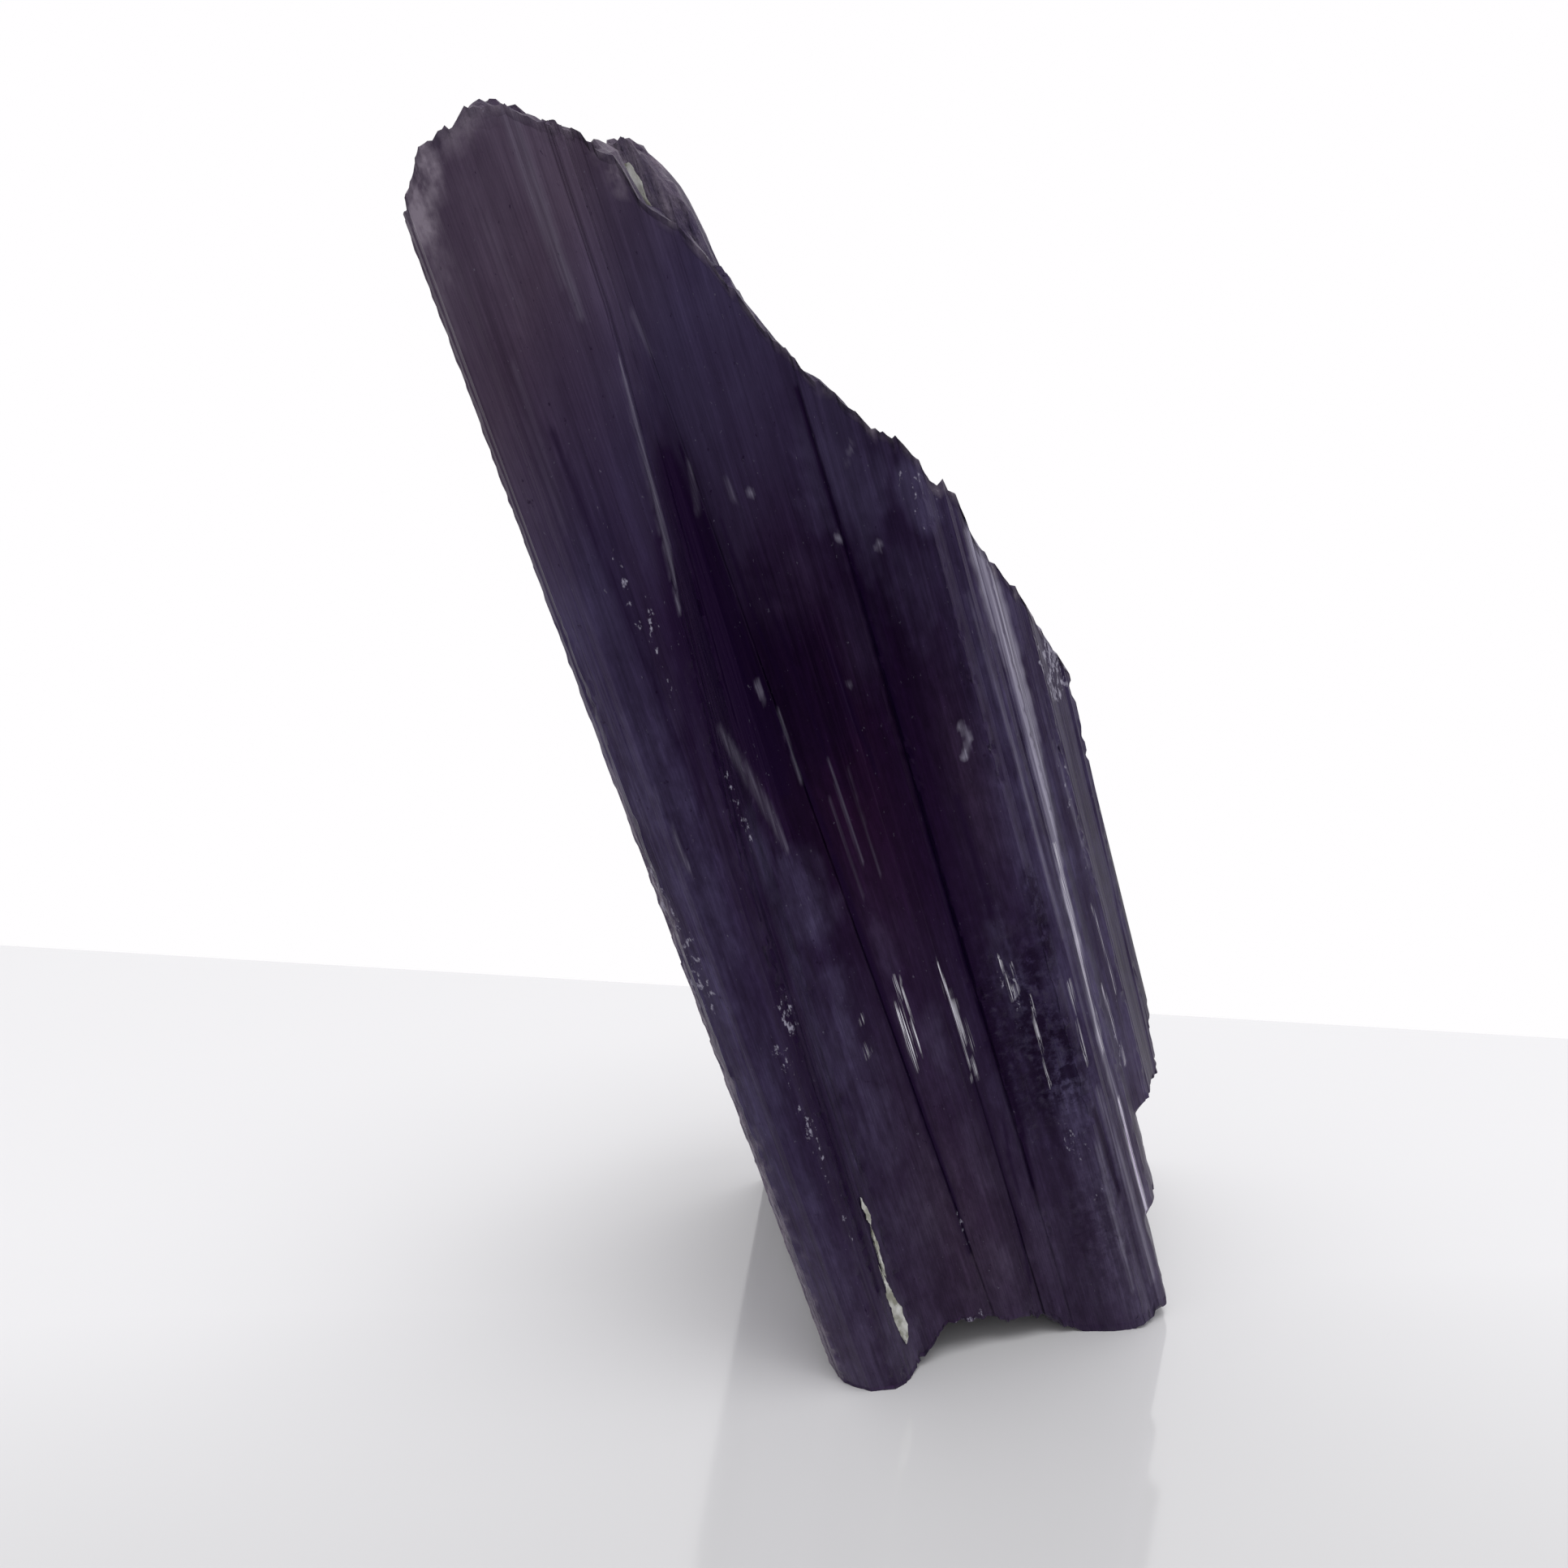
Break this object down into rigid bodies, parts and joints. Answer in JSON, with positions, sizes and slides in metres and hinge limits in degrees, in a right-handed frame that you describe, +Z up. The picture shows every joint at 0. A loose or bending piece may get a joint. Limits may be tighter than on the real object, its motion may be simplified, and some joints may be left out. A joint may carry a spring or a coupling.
{
  "type": "tourmaline crystal",
  "caption": "Leaning bundle of grown-together dark tourmaline columns, grooved along its length and broken at head and foot, with small mica plates in its seams.",
  "frame": {"origin": "middle of the footprint box, on the plane that the crystal stands on", "axes": "+Z up from that plane; the broad front face looks towards -Y, and the head leans towards -X"},
  "size_m": [0.0776, 0.0836, 0.135],
  "materials": {
    "black_tourmaline": "glassy dark purple-black, finely striated along the columns",
    "olive_mica": "silvery olive sheen"
  },
  "bodies": {
    "root": {"tourmaline_crystal": "black_tourmaline", "mica_plate_lower": "olive_mica", "mica_flake_middle": "olive_mica", "mica_flake_upper": "olive_mica", "mica_plate_top": "olive_mica"}
  },
  "joints": []
}
